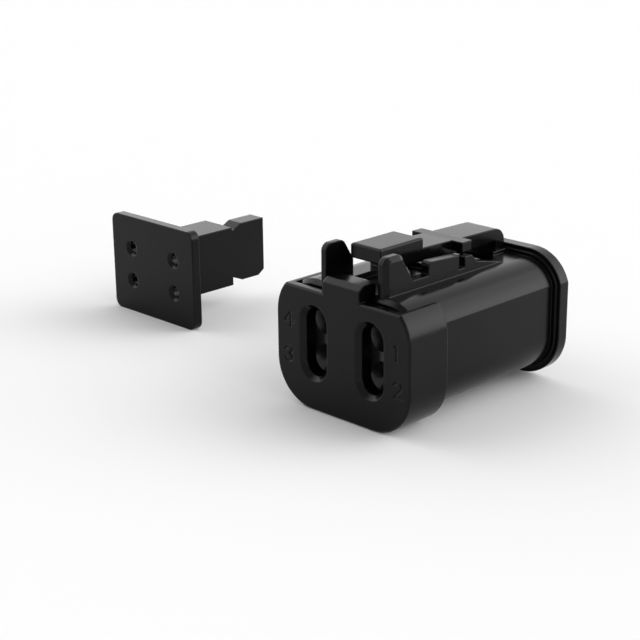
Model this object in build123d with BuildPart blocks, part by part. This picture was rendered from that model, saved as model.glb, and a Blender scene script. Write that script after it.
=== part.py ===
from build123d import *
import os

os.makedirs("parts", exist_ok=True)

# Sealed four-way rectangular plug connector with its secondary lock taken off.
# Millimetres. X is across the plug, +Y runs from the wire face to the mating
# end and Z is up. The origin is on the wire face, at the centre of the four
# contacts.

# Contacts' pattern and the cavities that hold them
pitch_across = 10.8
pitch_up = 5.6
cavity_radius = 1.6
fit = 0.05

# Heights above and below the centre of the pattern
base_down = 10.1
cover_up = 7.8
body_up = 8.6
body_down = 8.45
flange_proud = 1.15

# The body's outline: arched shoulders and round feet
body_half = 12.1
shoulder_wide = 4.9
shoulder_high = 3.5
shoulder_radius = 5.2
foot_radius = 5.6

# Housing along the plug
body_start = 1.9
body_end = 31.4
flange_start = 32.15
flange_thick = 1.85
neck_step = 0.35
bead_start = 31.6
bead_thick = 0.2
hub_start = 31.95
hub_proud = 0.45
edge_round = 0.6

# Mating end: hood, the gap for the mating shell, and the core
hood_wall = 0.85
gap_wide = 1.6
gap_depth = 14.9
core_setback = 1.0
lock_clearance = 0.1

# Rear cover: plate, skirt that wraps the body, tab and wire slots
cover_half = 12.8
cover_corner_wide = 1.8
cover_corner_high = 4.4
cover_corner_radius = 6.3
cover_foot_radius = 6.8
plate_thick = 1.3
plate_edge = 0.25
skirt_wall = 1.7
skirt_end = 7.7
crown_half = 10.3
cut_past = 3.4
tab_half = 3.45
tab_long = 3.4
tab_up = 10.1
tab_root_up = 7.1
tab_slope_long = 1.0
tab_slope_high = 0.6
slot_wide = 4.0
slot_high = 10.0
slot_rim = 0.7
boss_half = 8.6
boss_up = 5.7
boss_round = 1.6
boss_end = 2.5

# Wire seal
seal_gap = 0.1
seal_long = 4.8
wire_hole_radius = 1.15
funnel_radius = 2.1
funnel_long = 1.2
rib_high = 0.35
rib_long = 0.7
rib_count = 2

# Interface seal
ring_wall = 0.8
ring_long = 3.6
ring_rib_high = 0.45
ring_rib_long = 0.7
ring_rib_inset = 0.35

# Ears beside the thumb pad; wall, post and guard beside the arm
rail_outer = 6.45
rail_thick = 1.48
ear_start = 2.2
ear_flat_end = 5.7
ear_end = 7.7
ear_up = 14.1
ear_heel_up = 10.9
ear_round = 1.2
ear_rim = 0.6
wall_up = 10.0
post_start = 10.9
left_post_start = 12.8
post_end = 17.3
post_up = 11.95
post_drop = 0.4
slit_long = 1.3
slit_floor_up = 9.5
guard_up = 11.05
guard_flat = 1.5
guard_slope = 1.2
guard_low_up = 9.9
guard_end = 27.0

# Channel under the arm, and the window for the mating part's catch
channel_half = 4.1
channel_depth = 0.8
channel_end = 18.2
window_start = 20.0
window_end = 28.0

# Hinge block on the crown
hinge_along = 30.95
hinge_up = 9.15
hinge_block_half = 3.6
hinge_block_start = 28.4
hinge_block_up = 9.1

# Latch
arm_half = 2.8
arm_thick = 1.85
arm_up = 12.7
arm_drop = 0.5
arm_under_up = 11.15
arm_front = 9.2
knee_along = 15.5
knee_up = 10.55
pad_start = 5.0
pad_end = 13.7
pad_up = 14.2
pad_under_up = 12.1
pad_edge = 0.35
root_thick = 1.9
root_round = 2.2
root_inner_round = 0.9
lug_half = 4.8
lug_start = 19.95
lug_long = 2.05
lug_thick = 1.45

# Wedge lock: its place beside the plug, plate, block, tail and pin holes
lock_aside = 54.56
lock_along = 10.91
lock_wide = 20.7
lock_high = 16.65
lock_thick = 1.6
lock_corner = 1.4
block_wide = 6.9
block_high = 10.25
block_end = 14.8
tail_thick = 3.2
tail_end = 22.0
tail_up = 5.5
tail_down = 4.6
ramp_start = 15.3
barb_along = 16.9
barb_notch = 0.85
tail_bevel_long = 1.3
tail_bevel_high = 0.9
pin_hole_radius = 0.85
pin_lead = 0.5

# Contacts
contact_start = 9.0
barrel_radius = 1.25
barrel_bore = 0.85
barrel_long = 6.5
barrel_depth = 5.5
collar_radius = 1.5
collar_long = 1.0
socket_radius = 1.15
socket_bore = 0.8
socket_depth = 9.0
sleeve_wall = 0.2
contact_setback = 0.8

AXIAL = (0, 1, 0)
flange_end = flange_start + flange_thick
core_end = flange_end - core_setback
core_inset = hood_wall + gap_wide
seal_start = boss_end + seal_gap
seal_end = seal_start + seal_long
root_end = hinge_along + root_thick / 2
floor_up = body_up - channel_depth
lock_level = lock_high / 2 - base_down
cavities = {
    1: (pitch_across / 2, pitch_up / 2),
    2: (pitch_across / 2, -pitch_up / 2),
    3: (-pitch_across / 2, -pitch_up / 2),
    4: (-pitch_across / 2, pitch_up / 2),
}


def across(along, x=0.0, up=0.0):
    """Plane across the plug: local x is X and local y is Z, seen from the wire side."""
    return Plane(origin=(x, along, up), x_dir=(1, 0, 0), z_dir=(0, -1, 0))


def radial(x, up):
    """Plane along a contact's axis: local x is the distance from the axis, local y is Y."""
    return Plane(origin=(x, 0, up), x_dir=(1, 0, 0), z_dir=(0, 0, 1))


def outline(half, up, down, corner_wide, corner_high, arch, foot_round, inset):
    """Cross-section with arched shoulders and round feet, inset by a wall."""
    neck = half - corner_wide
    side_up = up - corner_high
    with BuildSketch() as section:
        with BuildLine():
            Line((-neck, up), (neck, up))
            RadiusArc((neck, up), (half, side_up), arch)
            Polyline((half, side_up), (half, -down), (-half, -down), (-half, side_up))
            RadiusArc((-half, side_up), (-neck, up), arch)
        make_face()
        fillet(section.vertices().group_by(Axis.Y)[0], radius=foot_round)
        if inset:
            offset(amount=-inset)
    return section.sketch


def body_outline(inset=0.0):
    return outline(
        body_half, body_up, body_down, shoulder_wide, shoulder_high, shoulder_radius, foot_radius, inset
    )


def cover_outline(inset=0.0):
    return outline(
        cover_half, cover_up, base_down, cover_corner_wide, cover_corner_high,
        cover_corner_radius, cover_foot_radius, inset,
    )


def skirt_section(clearance=0.0):
    """The skirt goes round the sides and below, and is open over the crown."""
    with BuildSketch() as section:
        add(cover_outline(-clearance))
        add(cover_outline(skirt_wall + clearance), mode=Mode.SUBTRACT)
        with Locations((0, cover_up)):
            Rectangle(2 * (crown_half - clearance), 2 * cut_past, mode=Mode.SUBTRACT)
    return section.sketch


# Right ear of the housing, with a bevelled rim on its outer side
with BuildPart() as ear:
    with BuildSketch(Plane.YZ.offset(rail_outer)) as ear_side:
        with BuildLine():
            Polyline(
                (ear_start, floor_up),
                (ear_start, ear_up),
                (ear_flat_end, ear_up),
                (ear_end, ear_heel_up),
                (ear_end, floor_up),
                close=True,
            )
        make_face()
        fillet(ear_side.vertices().group_by(Axis.Y)[-1], radius=ear_round)
    extrude(amount=-rail_thick)
    ear_rims = ear.faces().sort_by(Axis.X)[-1].edges().filter_by(
        lambda edge: edge.center().Y < ear_end - fit and edge.center().Z > floor_up + fit
    )
    chamfer(ear_rims, length=ear_rim)


# Housing: one moulding with the hood, the core, the flange, the ears and the
# walls that guard the latch.
with BuildPart() as housing:
    with BuildSketch(across(body_start)):
        add(body_outline())
    extrude(amount=body_end - body_start, dir=AXIAL)

    # Step in which the rear cover's skirt lies, cut past the body's own sides
    with BuildSketch(across(body_start)):
        add(body_outline(-cut_past))
        add(cover_outline(skirt_wall + fit), mode=Mode.SUBTRACT)
        with Locations((0, cover_up)):
            Rectangle(2 * (crown_half - fit), 2 * cut_past, mode=Mode.SUBTRACT)
    extrude(amount=skirt_end + fit - body_start, dir=AXIAL, mode=Mode.SUBTRACT)
    chamfer(housing.faces().sort_by(Axis.Y)[0].edges().sort_by(Axis.Z)[-3:], length=edge_round)

    # Neck with its bead, and the flange with a low hub
    with BuildSketch(across(body_end)):
        add(body_outline(neck_step))
    extrude(amount=flange_start - body_end, dir=AXIAL)
    with BuildSketch(across(bead_start)):
        add(body_outline())
    extrude(amount=bead_thick, dir=AXIAL)
    with BuildSketch(across(hub_start)):
        add(body_outline(-hub_proud))
    extrude(amount=flange_start - hub_start, dir=AXIAL)
    with BuildSketch(across(flange_start)):
        add(body_outline(-flange_proud))
    extrude(amount=flange_thick, dir=AXIAL)

    # Block on the crown that carries the latch's root
    with BuildSketch(Plane.XY.offset(floor_up)):
        with Locations((0, hinge_block_start)):
            Rectangle(2 * hinge_block_half, flange_start - hinge_block_start, align=(Align.CENTER, Align.MIN))
    extrude(amount=hinge_block_up - floor_up)

    # Gap between the hood and the core, and the seat of the wedge lock's plate
    with BuildSketch(across(flange_end)):
        add(body_outline(hood_wall))
        add(body_outline(core_inset), mode=Mode.SUBTRACT)
    extrude(amount=-gap_depth, dir=AXIAL, mode=Mode.SUBTRACT)
    with BuildSketch(across(flange_end)):
        add(body_outline(hood_wall))
        RectangleRounded(
            lock_wide + 2 * lock_clearance, lock_high + 2 * lock_clearance, lock_corner + lock_clearance
        )
    extrude(amount=-core_setback, dir=AXIAL, mode=Mode.SUBTRACT)

    # Pocket for the wire seal, and four cavities from it to the core's face
    with BuildSketch(across(body_start)):
        RectangleRounded(2 * (boss_half + fit), 2 * (boss_up + fit), boss_round + fit)
    extrude(amount=seal_end - body_start, dir=AXIAL, mode=Mode.SUBTRACT)
    with BuildSketch(across(seal_end)):
        with GridLocations(pitch_across, pitch_up, 2, 2):
            Circle(cavity_radius)
    extrude(amount=core_end - seal_end, dir=AXIAL, mode=Mode.SUBTRACT)

    # Slot in the core for the wedge lock's block, and a deeper one for its tail
    with BuildSketch(across(core_end)):
        Rectangle(block_wide + 2 * lock_clearance, block_high + 2 * lock_clearance)
    extrude(amount=lock_thick - block_end - lock_clearance, dir=AXIAL, mode=Mode.SUBTRACT)
    with BuildSketch(across(core_end)):
        with Locations((-block_wide / 2 - lock_clearance, -tail_down - lock_clearance)):
            Rectangle(
                tail_thick + 2 * lock_clearance,
                tail_up + tail_down + 2 * lock_clearance,
                align=(Align.MIN, Align.MIN),
            )
    extrude(amount=lock_thick - tail_end - lock_clearance, dir=AXIAL, mode=Mode.SUBTRACT)

    # Channel under the arm, the window into the gap, and the tab's notch
    with BuildSketch(Plane.XY.offset(floor_up)):
        with Locations((0, body_start)):
            Rectangle(2 * channel_half, channel_end - body_start, align=(Align.CENTER, Align.MIN))
    extrude(amount=channel_depth, mode=Mode.SUBTRACT)
    with BuildSketch(Plane.XY.offset(body_up - core_inset)):
        with Locations((0, window_start)):
            Rectangle(2 * channel_half, window_end - window_start, align=(Align.CENTER, Align.MIN))
    extrude(amount=core_inset, mode=Mode.SUBTRACT)
    with BuildSketch(Plane.XY.offset(tab_root_up - fit)):
        Rectangle(2 * (tab_half + fit), tab_long + fit, align=(Align.CENTER, Align.MIN))
    extrude(amount=body_up - tab_root_up + fit, mode=Mode.SUBTRACT)

    # An ear on each side of the thumb pad
    add(ear.part)
    mirror(ear.part, about=Plane.YZ)

    # Post and guard on each side of the arm, with a slit between them
    for side, start in ((-1, left_post_start), (1, post_start)):
        with BuildSketch(Plane.YZ.offset(side * rail_outer)) as post:
            with BuildLine():
                Polyline(
                    (start, floor_up),
                    (start, post_up),
                    (post_end, post_up - post_drop),
                    (post_end, slit_floor_up),
                    (post_end + slit_long, slit_floor_up),
                    (post_end + slit_long, guard_up),
                    (post_end + slit_long + guard_flat, guard_up),
                    (post_end + slit_long + guard_flat + guard_slope, guard_low_up),
                    (guard_end, body_up),
                    (guard_end, floor_up),
                    close=True,
                )
            make_face()
            fillet(post.vertices().sort_by(Axis.Y)[-1], radius=edge_round)
        extrude(amount=-side * rail_thick)

    # Low wall from the right ear to its post; the left side has none
    with BuildSketch(Plane.YZ.offset(rail_outer)):
        with Locations((ear_end, floor_up)):
            Rectangle(post_start - ear_end, wall_up - floor_up, align=(Align.MIN, Align.MIN))
    extrude(amount=-rail_thick)

    # Groove in which the latch's root turns
    with BuildSketch(Plane.YZ):
        with Locations((hinge_along, hinge_up)):
            Circle(root_thick / 2 + fit)
    extrude(amount=arm_half + fit, both=True, mode=Mode.SUBTRACT)
housing.part.label = "housing"
export_step(housing.part, "parts/housing.step")


# Latch: a lever with a thumb pad at the wire side, a lug on each edge and a
# root that bends down to the housing beside the flange.
with BuildPart() as latch:
    with BuildSketch(Plane.YZ) as lever:
        with BuildLine():
            Polyline(
                (pad_start, pad_under_up),
                (pad_start, pad_up),
                (pad_end, pad_up),
                (pad_end, arm_up),
                (root_end, arm_up - arm_drop),
                (root_end, hinge_up),
                (root_end - root_thick, hinge_up),
                (root_end - root_thick, arm_up - arm_drop - arm_thick),
                (knee_along, knee_up),
                (arm_front, arm_under_up),
                (arm_front - pad_under_up + arm_under_up, pad_under_up),
                close=True,
            )
        make_face()
        root_columns = lever.vertices().group_by(Axis.X)
        fillet(root_columns[-1].sort_by(Axis.Y)[-1], radius=root_round)
        fillet(root_columns[-2].sort_by(Axis.Y)[-1], radius=root_inner_round)
        with Locations((hinge_along, hinge_up)):
            Circle(root_thick / 2)
    extrude(amount=arm_half, both=True)
    pad_rim = latch.faces().sort_by(Axis.Z)[-1].edges()
    fillet(pad_rim, radius=pad_edge)

    lug_up = arm_up - arm_drop * (lug_start - pad_end) / (root_end - pad_end)
    with BuildSketch(Plane.XY.offset(lug_up - lug_thick)):
        with Locations((0, lug_start)):
            Rectangle(2 * lug_half, lug_long, align=(Align.CENTER, Align.MIN))
    extrude(amount=lug_thick)
latch.part.label = "latch"
export_step(latch.part, "parts/latch.step")


# Rear cover: snaps over the wire side, holds the wire seal in its pocket and
# leaves a slot for the wires of each pair of contacts.
with BuildPart() as rear_cover:
    with BuildSketch(across(0)):
        add(cover_outline())
    extrude(amount=plate_thick, dir=AXIAL)
    chamfer(rear_cover.faces().sort_by(Axis.Y)[0].edges(), length=plate_edge)
    with BuildSketch(across(plate_thick)):
        add(skirt_section())
    extrude(amount=skirt_end - plate_thick, dir=AXIAL)
    with BuildSketch(across(plate_thick)):
        RectangleRounded(2 * boss_half, 2 * boss_up, boss_round)
    extrude(amount=boss_end - plate_thick, dir=AXIAL)

    # Tab over the crown's edge
    with BuildSketch(Plane.YZ):
        with BuildLine():
            Polyline(
                (0, tab_root_up),
                (0, tab_up - tab_slope_high),
                (tab_slope_long, tab_up),
                (tab_long, tab_up),
                (tab_long, tab_root_up),
                close=True,
            )
        make_face()
    extrude(amount=tab_half, both=True)

    # One slot for each pair of wires, with a bevelled rim
    with BuildSketch(across(0)):
        with GridLocations(pitch_across, 0, 2, 1):
            SlotOverall(slot_high, slot_wide, rotation=90)
    extrude(amount=boss_end, dir=AXIAL, mode=Mode.SUBTRACT)
    chamfer(rear_cover.faces().sort_by(Axis.Y)[0].inner_wires().edges(), length=slot_rim)
rear_cover.part.label = "rear_cover"
export_step(rear_cover.part, "parts/rear_cover.step")


# Wire seal: a rubber block with ribs round it and a funnelled hole for each wire
with BuildPart() as wire_seal:
    with BuildSketch(across(seal_start)):
        RectangleRounded(2 * (boss_half - rib_high), 2 * (boss_up - rib_high), boss_round)
    extrude(amount=seal_long, dir=AXIAL)
    rib_pitch = (seal_long - rib_long) / (rib_count - 1)
    for rib in range(rib_count):
        with BuildSketch(across(seal_start + rib * rib_pitch)):
            RectangleRounded(2 * boss_half, 2 * boss_up, boss_round)
        extrude(amount=rib_long, dir=AXIAL)
    for x, up in cavities.values():
        with BuildSketch(radial(x, up)):
            with BuildLine():
                Polyline(
                    (0, seal_start),
                    (funnel_radius, seal_start),
                    (wire_hole_radius, seal_start + funnel_long),
                    (wire_hole_radius, seal_end),
                    (0, seal_end),
                    close=True,
                )
            make_face()
        revolve(axis=Axis((x, 0, up), AXIAL), mode=Mode.SUBTRACT)
wire_seal.part.label = "wire_seal"
export_step(wire_seal.part, "parts/wire_seal.step")


# Interface seal: a rubber ring round the core, at the bottom of the gap
with BuildPart() as interface_seal:
    ring_start = flange_end - gap_depth
    with BuildSketch(across(ring_start)):
        add(body_outline(core_inset - ring_wall))
        add(body_outline(core_inset - fit), mode=Mode.SUBTRACT)
    extrude(amount=ring_long, dir=AXIAL)
    last_rib = ring_long - ring_rib_long - ring_rib_inset
    for rib_inset in (ring_rib_inset, last_rib):
        with BuildSketch(across(ring_start + rib_inset)):
            add(body_outline(core_inset - ring_wall - ring_rib_high))
            add(body_outline(core_inset - fit), mode=Mode.SUBTRACT)
        extrude(amount=ring_rib_long, dir=AXIAL)
interface_seal.part.label = "interface_seal"
export_step(interface_seal.part, "parts/interface_seal.step")


# Wedge lock: pushed into the core's slot it backs the four contacts. It stands
# beside the plug, turned the other way, with its plate on the wire side.
def lock_plane(along):
    return across(lock_along + along, -lock_aside, lock_level)


with BuildPart() as wedge_lock:
    with BuildSketch(lock_plane(0)):
        RectangleRounded(lock_wide, lock_high, lock_corner)
    extrude(amount=lock_thick, dir=AXIAL)
    with BuildSketch(lock_plane(0)):
        with GridLocations(pitch_across, pitch_up, 2, 2):
            Circle(pin_hole_radius)
    extrude(amount=lock_thick, dir=AXIAL, mode=Mode.SUBTRACT)
    chamfer(wedge_lock.faces().sort_by(Axis.Y)[0].inner_wires().edges(), length=pin_lead)
    with BuildSketch(lock_plane(lock_thick)):
        Rectangle(block_wide, block_high)
    extrude(amount=block_end - lock_thick, dir=AXIAL)

    # One-sided tail with a barb above and a notch below
    side_plane = Plane(
        origin=(block_wide / 2 - lock_aside, lock_along, lock_level), x_dir=(0, 1, 0), z_dir=(1, 0, 0)
    )
    with BuildSketch(side_plane):
        with BuildLine():
            Polyline(
                (block_end, tail_up - barb_notch),
                (ramp_start, tail_up - barb_notch),
                (barb_along, tail_up),
                (tail_end, tail_up),
                (tail_end, tail_bevel_high - tail_down),
                (tail_end - tail_bevel_long, -tail_down),
                (barb_along, -tail_down),
                (block_end, barb_notch - tail_down),
                close=True,
            )
        make_face()
    extrude(amount=-tail_thick)
wedge_lock.part.label = "wedge_lock"
export_step(wedge_lock.part, "parts/wedge_lock.step")


# Contacts: a turned socket with a crimp barrel in each cavity, and a thin
# sleeve over its socket.
socket_start = contact_start + barrel_long + collar_long
socket_end = core_end - contact_setback
for number, (x, up) in cavities.items():
    bore_axis = Axis((x, 0, up), AXIAL)
    with BuildPart() as contact:
        with BuildSketch(radial(x, up)):
            with BuildLine():
                Polyline(
                    (barrel_bore, contact_start),
                    (barrel_radius, contact_start),
                    (barrel_radius, contact_start + barrel_long),
                    (collar_radius, contact_start + barrel_long),
                    (collar_radius, socket_start),
                    (socket_radius, socket_start),
                    (socket_radius, socket_end),
                    (socket_bore, socket_end),
                    (socket_bore, socket_end - socket_depth),
                    (0, socket_end - socket_depth),
                    (0, contact_start + barrel_depth),
                    (barrel_bore, contact_start + barrel_depth),
                    close=True,
                )
            make_face()
        revolve(axis=bore_axis)
    contact.part.label = f"contact_{number}"
    export_step(contact.part, f"parts/contact_{number}.step")

    with BuildPart() as sleeve:
        with BuildSketch(across(socket_start, x, up)):
            Circle(socket_radius + fit + sleeve_wall)
            Circle(socket_radius + fit, mode=Mode.SUBTRACT)
        extrude(amount=socket_end - socket_start, dir=AXIAL)
    sleeve.part.label = f"contact_sleeve_{number}"
    export_step(sleeve.part, f"parts/contact_sleeve_{number}.step")
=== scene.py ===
import math

import bmesh
import bpy
from mathutils import Matrix, Vector


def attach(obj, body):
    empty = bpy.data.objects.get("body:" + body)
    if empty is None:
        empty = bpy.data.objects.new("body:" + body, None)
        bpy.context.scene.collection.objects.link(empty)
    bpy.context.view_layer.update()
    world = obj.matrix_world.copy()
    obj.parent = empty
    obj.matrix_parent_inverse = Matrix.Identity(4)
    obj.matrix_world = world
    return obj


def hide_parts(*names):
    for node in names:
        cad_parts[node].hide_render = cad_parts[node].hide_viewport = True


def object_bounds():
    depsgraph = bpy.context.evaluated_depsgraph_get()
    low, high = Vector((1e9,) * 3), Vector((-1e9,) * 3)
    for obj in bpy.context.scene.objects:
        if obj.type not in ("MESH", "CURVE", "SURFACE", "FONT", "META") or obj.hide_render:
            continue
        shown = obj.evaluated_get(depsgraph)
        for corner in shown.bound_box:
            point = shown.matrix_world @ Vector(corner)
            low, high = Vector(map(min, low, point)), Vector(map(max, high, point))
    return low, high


# A sealed four-way plug that lies on the foot of its rear cover, with its
# wedge lock taken off and stood up beside it.
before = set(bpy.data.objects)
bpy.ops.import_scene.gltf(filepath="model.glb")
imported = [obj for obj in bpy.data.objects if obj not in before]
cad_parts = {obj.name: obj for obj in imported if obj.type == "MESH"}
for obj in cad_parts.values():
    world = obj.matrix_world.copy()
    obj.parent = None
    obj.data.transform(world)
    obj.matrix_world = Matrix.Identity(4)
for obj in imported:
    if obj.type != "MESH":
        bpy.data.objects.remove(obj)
cad_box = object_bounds()


# Housing: one moulding of black nylon with the hood, the flange, the ears and
# the walls beside the latch. The mould is polished, so faces carry a fine satin
# grain and slow waves where the melt flowed.
MM = 0.001
GRAIN_PER_METRE = 9000.0
GRAIN_DETAIL = 3.0
GRAIN_ROUGHNESS = 0.6
FLOW_PER_METRE = 130.0
FLOW_DETAIL = 4.0
FLOW_DISTORTION = 0.6


def add_value(group, name, direction, value=None):
    """Gives a node group one named number, in or out, with its first value."""
    made = group.interface.new_socket(
        name=name, in_out=direction, socket_type="NodeSocketFloat",
    )
    if value is not None:
        made.default_value = value


def moulded_grain():
    """Skin that all mouldings share: a slow mottle and a fine height."""
    group = bpy.data.node_groups.new("moulded_grain", "ShaderNodeTree")
    add_value(group, "Grain per metre", "INPUT", GRAIN_PER_METRE)
    add_value(group, "Flow per metre", "INPUT", FLOW_PER_METRE)
    add_value(group, "Mottle", "OUTPUT")
    add_value(group, "Height", "OUTPUT")
    nodes = group.nodes
    links = group.links
    entry = nodes.new("NodeGroupInput")
    leave = nodes.new("NodeGroupOutput")
    place = nodes.new("ShaderNodeTexCoord")
    grain = nodes.new("ShaderNodeTexNoise")
    grain.inputs["Detail"].default_value = GRAIN_DETAIL
    grain.inputs["Roughness"].default_value = GRAIN_ROUGHNESS
    flow = nodes.new("ShaderNodeTexNoise")
    flow.inputs["Detail"].default_value = FLOW_DETAIL
    flow.inputs["Distortion"].default_value = FLOW_DISTORTION
    links.new(place.outputs["Object"], grain.inputs["Vector"])
    links.new(place.outputs["Object"], flow.inputs["Vector"])
    links.new(entry.outputs["Grain per metre"], grain.inputs["Scale"])
    links.new(entry.outputs["Flow per metre"], flow.inputs["Scale"])
    links.new(flow.outputs["Fac"], leave.inputs["Mottle"])
    links.new(grain.outputs["Fac"], leave.inputs["Height"])
    return group


MOULDED_GRAIN = moulded_grain()

# Most of the flow's noise lies between these two values
MOTTLE_LOW = 0.3
MOTTLE_HIGH = 0.7
EDGE_SAMPLES = 6
# Real nylon has 1.5; this keeps its blacks as deep as in the photograph
NYLON_IOR = 1.25


def nylon(name, dark, light, smooth, rough, grain_depth, edge_radius):
    """Black nylon: the mottle shifts its shade and gloss, and edges are softened."""
    material = bpy.data.materials.new(name)
    material.use_nodes = True
    nodes = material.node_tree.nodes
    links = material.node_tree.links
    shader = nodes["Principled BSDF"]
    shader.inputs["IOR"].default_value = NYLON_IOR
    skin = nodes.new("ShaderNodeGroup")
    skin.node_tree = MOULDED_GRAIN
    shade = nodes.new("ShaderNodeValToRGB")
    shade.color_ramp.elements[0].color = (*dark, 1.0)
    shade.color_ramp.elements[1].color = (*light, 1.0)
    shade.color_ramp.elements[0].position = MOTTLE_LOW
    shade.color_ramp.elements[1].position = MOTTLE_HIGH
    gloss = nodes.new("ShaderNodeMapRange")
    gloss.inputs["From Min"].default_value = MOTTLE_LOW
    gloss.inputs["From Max"].default_value = MOTTLE_HIGH
    gloss.inputs["To Min"].default_value = smooth
    gloss.inputs["To Max"].default_value = rough
    soft_edge = nodes.new("ShaderNodeBevel")
    soft_edge.samples = EDGE_SAMPLES
    soft_edge.inputs["Radius"].default_value = edge_radius
    bump = nodes.new("ShaderNodeBump")
    bump.inputs["Distance"].default_value = grain_depth
    links.new(skin.outputs["Mottle"], shade.inputs["Fac"])
    links.new(skin.outputs["Mottle"], gloss.inputs["Value"])
    links.new(shade.outputs["Color"], shader.inputs["Base Color"])
    links.new(gloss.outputs["Result"], shader.inputs["Roughness"])
    links.new(skin.outputs["Height"], bump.inputs["Height"])
    links.new(soft_edge.outputs["Normal"], bump.inputs["Normal"])
    links.new(bump.outputs["Normal"], shader.inputs["Normal"])
    return material


def finish_node(name, material):
    """Gives a CAD piece its one material; its mesh stays as it is."""
    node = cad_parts[name]
    node.data.materials.clear()
    node.data.materials.append(material)
    return node


SATIN_NYLON = nylon(
    "satin_nylon",
    dark=(0.0016, 0.0017, 0.0016),
    light=(0.0026, 0.0027, 0.0025),
    smooth=0.16,
    rough=0.22,
    grain_depth=0.001 * MM,
    edge_radius=0.3 * MM,
)
finish_node("housing", SATIN_NYLON)


# Latch: the lever with its thumb pad, moulded with the housing of the same nylon
# and joined to it by the root beside the flange.
finish_node("latch", SATIN_NYLON)


# Interface seal: a ribbed ring of black silicone rubber, slipped over the core
# to the bottom of the gap. The rubber sweats a little oil, so it shines more
# than the nylon.
SILICONE_IOR = 1.45
RUBBER_GRAIN_PER_METRE = 4000.0


def silicone(name, dark, light, smooth, rough, grain_depth):
    """Black rubber with a coarser grain than the nylon's and edges left sharp."""
    material = bpy.data.materials.new(name)
    material.use_nodes = True
    nodes = material.node_tree.nodes
    links = material.node_tree.links
    shader = nodes["Principled BSDF"]
    shader.inputs["IOR"].default_value = SILICONE_IOR
    skin = nodes.new("ShaderNodeGroup")
    skin.node_tree = MOULDED_GRAIN
    skin.inputs["Grain per metre"].default_value = RUBBER_GRAIN_PER_METRE
    shade = nodes.new("ShaderNodeValToRGB")
    shade.color_ramp.elements[0].color = (*dark, 1.0)
    shade.color_ramp.elements[1].color = (*light, 1.0)
    gloss = nodes.new("ShaderNodeMapRange")
    gloss.inputs["To Min"].default_value = smooth
    gloss.inputs["To Max"].default_value = rough
    bump = nodes.new("ShaderNodeBump")
    bump.inputs["Distance"].default_value = grain_depth
    links.new(skin.outputs["Mottle"], shade.inputs["Fac"])
    links.new(skin.outputs["Mottle"], gloss.inputs["Value"])
    links.new(shade.outputs["Color"], shader.inputs["Base Color"])
    links.new(gloss.outputs["Result"], shader.inputs["Roughness"])
    links.new(skin.outputs["Height"], bump.inputs["Height"])
    links.new(bump.outputs["Normal"], shader.inputs["Normal"])
    return material


SILICONE_RUBBER = silicone(
    "silicone_rubber",
    dark=(0.006, 0.006, 0.0065),
    light=(0.012, 0.012, 0.0125),
    smooth=0.16,
    rough=0.26,
    grain_depth=0.005 * MM,
)
finish_node("interface_seal", SILICONE_RUBBER)


# Wire seal: a block of the same rubber, moulded with a funnelled hole for each
# wire and pressed into the pocket at the housing's wire side.
finish_node("wire_seal", SILICONE_RUBBER)


# Rear cover: a plate with two wire slots and a skirt, moulded of the same nylon
# and snapped over the wire side. Its face carries the four cavity numbers,
# which the mould leaves as shallow strokes with round ends.
STROKE_HALF = 0.14 * MM
STROKE_DEPTH = 0.16 * MM
STROKE_END_SIDES = 10
WELD_DISTANCE = 0.0001 * MM
SHARP_ANGLE = math.radians(24.0)

# Each number's strokes run through these points, across and up in millimetres
NUMBERS = {
    1: ((10.02, 3.22), (10.34, 3.52), (10.34, 1.28)),
    2: (
        (9.93, -2.20), (10.21, -1.90), (10.81, -1.80), (11.28, -2.00),
        (11.38, -2.34), (11.13, -2.76), (10.02, -3.86), (11.50, -3.92),
    ),
    3: (
        (-11.13, -2.08), (-10.81, -1.74), (-10.18, -1.62), (-9.73, -1.88),
        (-9.76, -2.28), (-10.29, -2.54), (-9.68, -2.87), (-9.73, -3.41),
        (-10.38, -3.74), (-10.98, -3.58), (-11.12, -3.26),
    ),
    4: ((-9.32, 2.28), (-11.12, 2.30), (-9.96, 3.65), (-9.97, 1.52)),
}


def add_stroke(shape, start, end):
    """One round-ended bar that reaches from outside the face into it."""
    along = Vector((end[0] - start[0], 0.0, end[1] - start[1])) * MM
    turn = math.atan2(along.z, along.x)
    rim = []
    for centre, first in ((end, turn - math.pi / 2), (start, turn + math.pi / 2)):
        for step in range(STROKE_END_SIDES + 1):
            angle = first + math.pi * step / STROKE_END_SIDES
            rim.append((
                centre[0] * MM + STROKE_HALF * math.cos(angle),
                centre[1] * MM + STROKE_HALF * math.sin(angle),
            ))
    outer = [shape.verts.new((x, -STROKE_DEPTH, z)) for x, z in rim]
    inner = [shape.verts.new((x, STROKE_DEPTH, z)) for x, z in rim]
    shape.faces.new(outer)
    shape.faces.new(inner[::-1])
    for here in range(len(rim)):
        after = (here + 1) % len(rim)
        shape.faces.new((outer[here], inner[here], inner[after], outer[after]))


def number_strokes():
    """The strokes of all four numbers, as one body to cut with."""
    data = bpy.data.meshes.new("number_strokes")
    shape = bmesh.new()
    for points in NUMBERS.values():
        for start, end in zip(points, points[1:]):
            add_stroke(shape, start, end)
    bmesh.ops.recalc_face_normals(shape, faces=shape.faces)
    shape.to_mesh(data)
    shape.free()
    strokes = bpy.data.objects.new("number_strokes", data)
    bpy.context.scene.collection.objects.link(strokes)
    return strokes


def closed_copy(node):
    """The node's mesh with its corners joined, so that a cut finds a closed body."""
    data = node.data.copy()
    shape = bmesh.new()
    shape.from_mesh(data)
    bmesh.ops.remove_doubles(shape, verts=shape.verts, dist=WELD_DISTANCE)
    shape.to_mesh(data)
    shape.free()
    data.attributes.remove(data.attributes["custom_normal"])
    return data


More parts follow.
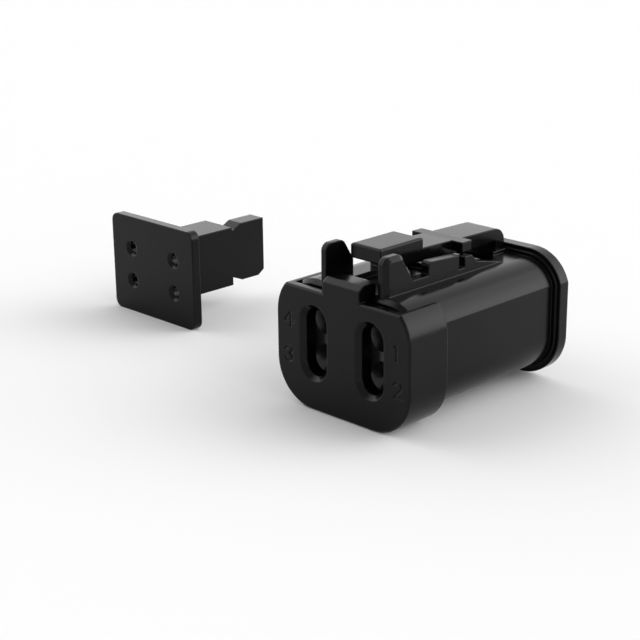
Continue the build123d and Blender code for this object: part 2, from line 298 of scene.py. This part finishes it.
cover_node = finish_node("rear_cover", SATIN_NYLON)
numbered_cover = bpy.data.objects.new("numbered_cover", closed_copy(cover_node))
numbered_cover.matrix_world = cover_node.matrix_world
bpy.context.scene.collection.objects.link(numbered_cover)
strokes = number_strokes()
cut = numbered_cover.modifiers.new("cut", "BOOLEAN")
cut.operation = "DIFFERENCE"
cut.solver = "EXACT"
cut.use_self = True
cut.object = strokes
bpy.context.view_layer.update()
depsgraph = bpy.context.evaluated_depsgraph_get()
numbered_data = bpy.data.meshes.new_from_object(numbered_cover.evaluated_get(depsgraph))
numbered_cover.modifiers.clear()
numbered_cover.data = numbered_data
numbered_data.materials.clear()
numbered_data.materials.append(SATIN_NYLON)
for polygon in numbered_data.polygons:
    polygon.use_smooth = True
numbered_data.set_sharp_from_angle(angle=SHARP_ANGLE)
strokes_data = strokes.data
bpy.data.objects.remove(strokes)
bpy.data.meshes.remove(strokes_data)
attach(numbered_cover, "shell")
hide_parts("rear_cover")


# Contacts: one for each cavity, turned from copper alloy, plated with nickel and
# pushed in through the wire seal until it snaps into the core.
CAVITIES = (1, 2, 3, 4)
MARK_WANDER = 1.5


def bare_metal(name, colour, smooth, rough, marks_per_metre):
    """Turned or rolled metal: rings round the contact carry the tool's marks."""
    material = bpy.data.materials.new(name)
    material.use_nodes = True
    nodes = material.node_tree.nodes
    links = material.node_tree.links
    shader = nodes["Principled BSDF"]
    shader.inputs["Metallic"].default_value = 1.0
    shader.inputs["Base Color"].default_value = (*colour, 1.0)
    place = nodes.new("ShaderNodeTexCoord")
    rings = nodes.new("ShaderNodeTexWave")
    rings.bands_direction = "Y"
    rings.inputs["Scale"].default_value = marks_per_metre
    rings.inputs["Distortion"].default_value = MARK_WANDER
    gloss = nodes.new("ShaderNodeMapRange")
    gloss.inputs["To Min"].default_value = smooth
    gloss.inputs["To Max"].default_value = rough
    links.new(place.outputs["Object"], rings.inputs["Vector"])
    links.new(rings.outputs["Fac"], gloss.inputs["Value"])
    links.new(gloss.outputs["Result"], shader.inputs["Roughness"])
    return material


NICKEL_PLATE = bare_metal(
    "nickel_plate",
    colour=(0.72, 0.69, 0.64),
    smooth=0.2,
    rough=0.34,
    marks_per_metre=1500.0,
)
for cavity in CAVITIES:
    finish_node(f"contact_{cavity}", NICKEL_PLATE)


# Contact sleeves: thin stainless strip, rolled into a tube and slipped over the
# socket end of each contact.
SLEEVE_STEEL = bare_metal(
    "sleeve_steel",
    colour=(0.56, 0.56, 0.57),
    smooth=0.28,
    rough=0.42,
    marks_per_metre=700.0,
)
for cavity in CAVITIES:
    finish_node(f"contact_sleeve_{cavity}", SLEEVE_STEEL)


# Wedge lock: a plate with four pin holes, a block and a tail, moulded of the
# same nylon. It is pushed into the core's slot last of all; here it is off and
# stands on the edge of its plate.
finish_node("wedge_lock", SATIN_NYLON)


# Floor: a wide pale sheet of paper under the plug and its lock
PAPER_HALF = 3.0
PAPER_PALE = 0.93
floor_data = bpy.data.meshes.new("floor")
floor_shape = bmesh.new()
bmesh.ops.create_grid(floor_shape, x_segments=1, y_segments=1, size=PAPER_HALF)
floor_shape.to_mesh(floor_data)
floor_shape.free()
floor = bpy.data.objects.new("floor", floor_data)
floor.location = (0.0, 0.0, cad_box[0][2])
bpy.context.scene.collection.objects.link(floor)
paper = bpy.data.materials.new("pale_paper")
paper.use_nodes = True
paper_shader = paper.node_tree.nodes["Principled BSDF"]
paper_shader.inputs["Base Color"].default_value = (PAPER_PALE, PAPER_PALE, PAPER_PALE, 1.0)
paper_shader.inputs["Roughness"].default_value = 1.0
paper_shader.inputs["Specular IOR Level"].default_value = 0.0
floor_data.materials.append(paper)


# World: a dim white studio with soft banks of light: a tall one to the left, a
# wide one behind with a small bright one in it, a low one to the right and a
# weak one in front. Glossy faces also mirror its pale walls.
WHITE = (1.0, 1.0, 1.0, 1.0)
DIM_AIR = 0.2
PALE_WALLS = 0.36

# In degrees: azimuth from +X towards +Y, elevation from the floor, and how far
# from its middle a bank stays full (core) and where it ends (reach)
BANKS = {
    "left": dict(azimuth=192.0, elevation=15.0, core=22.0, reach=57.0, strength=1.85),
    "behind": dict(azimuth=92.0, elevation=15.0, core=28.0, reach=76.0, strength=0.98),
    "bright": dict(azimuth=56.0, elevation=27.0, core=8.0, reach=32.0, strength=1.5),
    "right": dict(azimuth=16.0, elevation=4.0, core=25.0, reach=56.0, strength=2.05),
    "front": dict(azimuth=285.0, elevation=25.0, core=15.0, reach=60.0, strength=0.15),
}


def add_bank(tree, direction, so_far, azimuth, elevation, core, reach, strength):
    """Adds one bank to the light so far, or to the dim air if it is the first."""
    turn = math.radians(azimuth)
    rise = math.radians(elevation)
    towards = tree.nodes.new("ShaderNodeVectorMath")
    towards.operation = "DOT_PRODUCT"
    towards.inputs[1].default_value = (
        math.cos(rise) * math.cos(turn),
        math.cos(rise) * math.sin(turn),
        math.sin(rise),
    )
    glow = tree.nodes.new("ShaderNodeMapRange")
    glow.interpolation_type = "SMOOTHSTEP"
    glow.inputs["From Min"].default_value = math.cos(math.radians(reach))
    glow.inputs["From Max"].default_value = math.cos(math.radians(core))
    glow.inputs["To Max"].default_value = strength
    total = tree.nodes.new("ShaderNodeMath")
    total.operation = "ADD"
    tree.links.new(direction, towards.inputs[0])
    tree.links.new(towards.outputs["Value"], glow.inputs["Value"])
    tree.links.new(glow.outputs["Result"], total.inputs[0])
    if so_far is None:
        total.inputs[1].default_value = DIM_AIR
    else:
        tree.links.new(so_far, total.inputs[1])
    return total.outputs["Value"]


world = bpy.data.worlds.new("studio")
world.use_nodes = True
bpy.context.scene.world = world
tree = world.node_tree
direction = tree.nodes.new("ShaderNodeTexCoord").outputs["Generated"]
light = None
for bank in BANKS.values():
    light = add_bank(tree, direction, light, **bank)
ray = tree.nodes.new("ShaderNodeLightPath")
walls = tree.nodes.new("ShaderNodeMath")
walls.operation = "MULTIPLY_ADD"
walls.inputs[1].default_value = PALE_WALLS
background = tree.nodes["Background"]
background.inputs["Color"].default_value = WHITE
tree.links.new(ray.outputs["Is Glossy Ray"], walls.inputs[0])
tree.links.new(light, walls.inputs[2])
tree.links.new(walls.outputs["Value"], background.inputs["Strength"])


# Camera: at the photograph's angle, found from the straight edges of the plug
AZIMUTH = math.radians(45.295)
ELEVATION = math.radians(18.495)
ROLL = math.radians(-0.606)
DISTANCE = 216.8 * MM
TARGET = Vector((-4.0, 0.0, 3.8)) * MM
FOCAL_LENGTH = 87.66
SENSOR_WIDTH = 36.0
NEAREST = 10.0 * MM
back = Vector((
    math.sin(AZIMUTH) * math.cos(ELEVATION),
    -math.cos(AZIMUTH) * math.cos(ELEVATION),
    math.sin(ELEVATION),
))
level = Vector((math.cos(AZIMUTH), math.sin(AZIMUTH), 0.0))
upright = back.cross(level)
right = level * math.cos(ROLL) + upright * math.sin(ROLL)
up = upright * math.cos(ROLL) - level * math.sin(ROLL)
lens = bpy.data.cameras.new("camera")
lens.lens = FOCAL_LENGTH
lens.sensor_width = SENSOR_WIDTH
lens.clip_start = NEAREST
camera = bpy.data.objects.new("camera", lens)
camera.matrix_world = Matrix((
    (right.x, up.x, back.x, TARGET.x + back.x * DISTANCE),
    (right.y, up.y, back.y, TARGET.y + back.y * DISTANCE),
    (right.z, up.z, back.z, TARGET.z + back.z * DISTANCE),
    (0.0, 0.0, 0.0, 1.0),
))
bpy.context.scene.collection.objects.link(camera)
bpy.context.scene.camera = camera
bpy.context.scene.view_settings.view_transform = "Standard"
